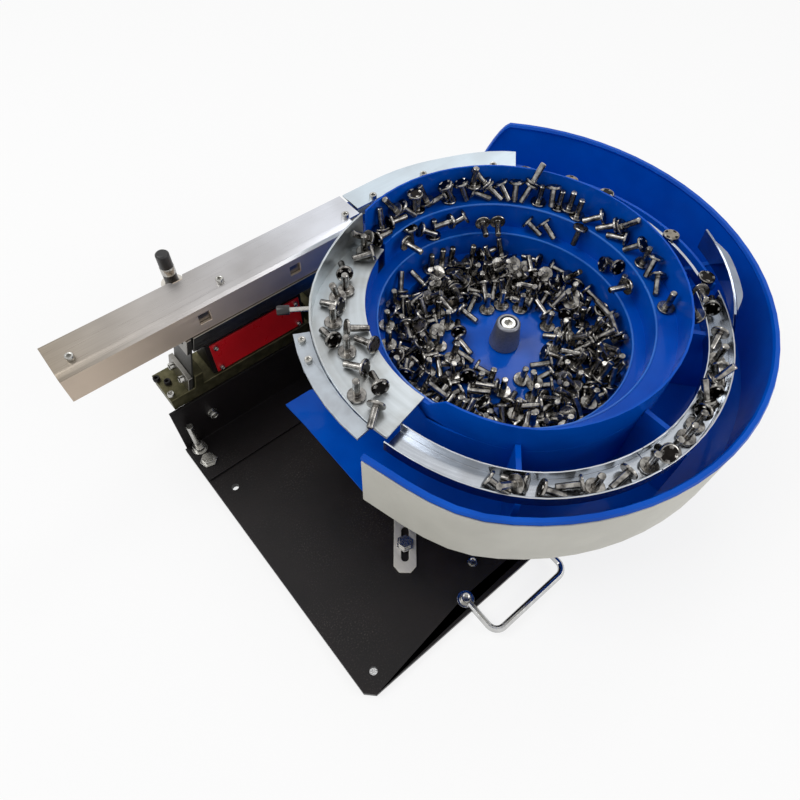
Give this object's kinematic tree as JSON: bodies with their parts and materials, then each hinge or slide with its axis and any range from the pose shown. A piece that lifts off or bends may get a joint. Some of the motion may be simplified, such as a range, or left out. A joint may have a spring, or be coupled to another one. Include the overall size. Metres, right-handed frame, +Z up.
{
  "type": "vibratory bowl feeder",
  "caption": "Spiral vibratory bowl on a leaf-spring drive, with a return pan, an outer trough, curved hanging rails and a short linear feeder track, all on a base plate.",
  "frame": {"origin": "on the bowl's axis at the underside of the base plate", "axes": "+X along the linear track towards the bowl's side, +Y from the bowl's front to the linear feeder, +Z up"},
  "size_m": [0.7117, 0.5078, 0.239],
  "materials": {
    "blue_coat": "gloss blue stoved coating",
    "cream_coat": "satin cream coating",
    "black_coat": "satin black coating",
    "red_coat": "satin dark red coating",
    "stainless": "brushed stainless steel",
    "frosted_aluminium": "bead-blasted aluminium",
    "ground_steel": "ground steel",
    "zinc_steel": "olive zinc-plated steel",
    "chrome": "polished chrome rod",
    "rubber": "black rubber",
    "sensor_case": "black plastic case",
    "winding": "varnished winding and core",
    "spring_laminate": "black glass-fibre laminate"
  },
  "bodies": {
    "frame": {"base_plate": "black_coat", "carry_handle": "chrome", "linear_stand": "black_coat", "stand_bolt_1": "stainless", "stand_bolt_2": "stainless", "stand_stud_1": "stainless", "stand_stud_2": "stainless", "linear_base_block": "black_coat", "linear_base": "zinc_steel", "linear_leaf_spring_left": "spring_laminate", "linear_leaf_spring_right": "spring_laminate", "leaf_clamp_lower_left": "ground_steel", "leaf_clamp_lower_right": "ground_steel", "linear_coil": "winding", "linear_housing": "black_coat", "side_cover_front": "red_coat", "side_cover_rear": "red_coat", "foot_strap_1": "stainless", "foot_strap_2": "stainless", "foot_strap_3": "stainless", "strap_bolt_1": "stainless", "strap_bolt_2": "stainless", "strap_bolt_3": "stainless", "rubber_foot_1": "rubber", "rubber_foot_2": "rubber", "rubber_foot_3": "rubber", "drive_base": "black_coat", "drive_magnet": "winding", "bowl_leaf_spring_1": "spring_laminate", "bowl_leaf_spring_2": "spring_laminate", "bowl_leaf_spring_3": "spring_laminate", "bowl_leaf_spring_4": "spring_laminate"},
    "linear_top": {"linear_top_bar": "ground_steel", "linear_armature": "ground_steel", "leaf_clamp_upper_left": "ground_steel", "leaf_clamp_upper_right": "ground_steel", "track_body": "ground_steel", "track_side_plate_near": "stainless", "track_side_plate_far": "stainless", "track_cover": "stainless", "sensor_bracket": "stainless", "track_sensor": "sensor_case"},
    "drive_top": {"drive_armature": "ground_steel"},
    "bowl": {"drive_top_plate": "ground_steel", "bowl_hub": "ground_steel", "bowl_shell": "blue_coat", "bowl_skirt": "blue_coat", "cone_nut": "black_coat", "cone_screw": "stainless", "selector_tray": "frosted_aluminium", "tray_guide": "frosted_aluminium", "air_nozzle": "stainless", "return_pan": "blue_coat", "pan_skin": "cream_coat", "trough_channel_1": "stainless", "trough_channel_2": "stainless", "hanging_rail_inner": "stainless", "hanging_rail_outer": "stainless", "rail_cover": "stainless", "deflector": "stainless"}
  },
  "joints": [
    {"name": "linear_vibration", "type": "slide", "parent": "frame", "child": "linear_top", "axis": [-0.9703, 0, 0.2419], "range_m": [-0.0005, 0.0005], "stiffness_N_per_m": 50000, "springref_m": 0.0002, "deforming": ["linear_leaf_spring_left", "linear_leaf_spring_right"]},
    {"name": "bowl_lift", "type": "slide", "parent": "frame", "child": "drive_top", "axis": [0, 0, 1], "range_m": [-0.0003, 0.0003], "stiffness_N_per_m": 100000, "springref_m": 0.00214, "deforming": ["bowl_leaf_spring_1", "bowl_leaf_spring_2", "bowl_leaf_spring_3", "bowl_leaf_spring_4"]},
    {"name": "bowl_vibration", "type": "hinge", "parent": "drive_top", "child": "bowl", "pos_m": [0, 0, 0], "axis": [0, 0, 1], "range_deg": [-0.25, 0.25], "stiffness_Nm_per_rad": 500}
  ],
  "couplings": [
    {"joint": "bowl_lift", "follows": "bowl_vibration", "m_per_rad": 0.0408}
  ]
}
